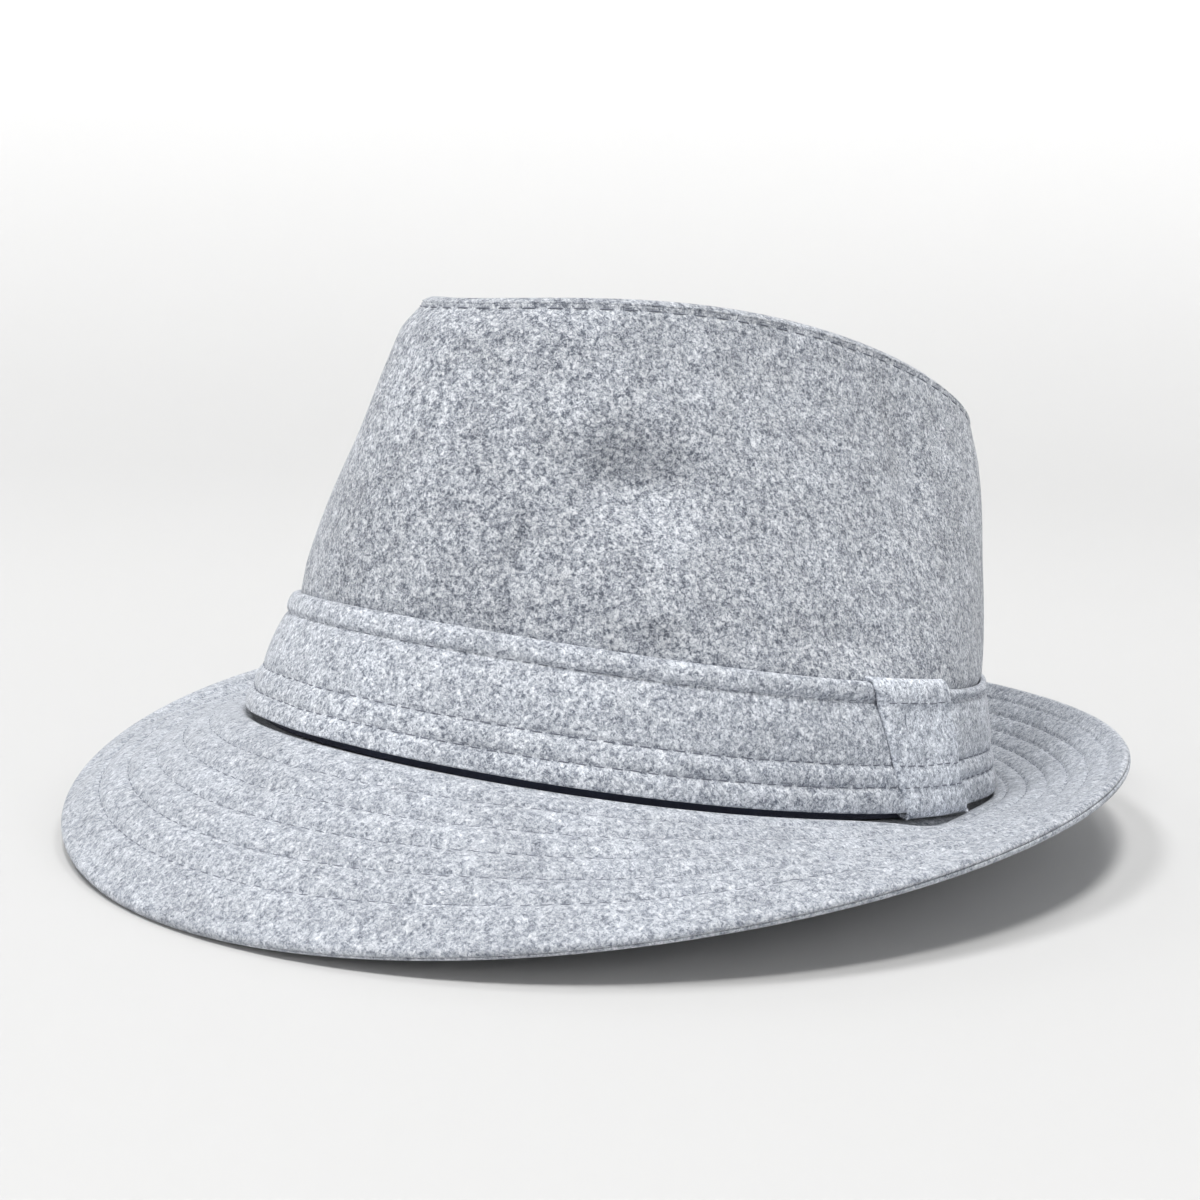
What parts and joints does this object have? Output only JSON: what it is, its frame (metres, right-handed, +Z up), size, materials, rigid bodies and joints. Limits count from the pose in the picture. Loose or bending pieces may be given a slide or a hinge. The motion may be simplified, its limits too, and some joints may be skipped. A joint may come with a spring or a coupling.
{
  "type": "fedora hat",
  "caption": "Soft cut-and-sewn wool fedora in trilby shape: pinched crown with creased tip, self-fabric hatband with a side tab, and a stitched snap brim, front down and back up.",
  "frame": {"origin": "centre of the bounding box in plan, at the level of the floor the hat rests on", "axes": "-Y towards the front of the hat, +X towards the wearer's left, +Z up; the hat leans back 7.49 degrees about X so it rests on its front brim and the back of the crown's foot"},
  "size_m": [0.264, 0.2853, 0.1316],
  "materials": {
    "wool": "heathered grey-blue wool flannel, soft matte nap",
    "stiffener": "fused non-woven stiffener, matte",
    "lining": "dark satin lining, slight sheen",
    "sweatband": "black cotton twill, matte",
    "thread": "dark slate polyester sewing thread"
  },
  "bodies": {
    "root": {"crown_side": "wool", "crown_tip": "wool", "crown_tip_topstitch": "thread", "crown_side_interlining": "stiffener", "crown_tip_interlining": "stiffener", "lining_side": "lining", "lining_tip": "lining", "sweatband": "sweatband", "sweatband_tape": "sweatband", "brim_top_cloth": "wool", "brim_interlining": "stiffener", "brim_under_cloth": "wool", "brim_stitching": "thread", "hatband": "wool", "hatband_stitch_lower": "thread", "hatband_stitch_upper": "thread", "hatband_stitch_hem": "thread", "hatband_tab": "wool"}
  },
  "joints": []
}
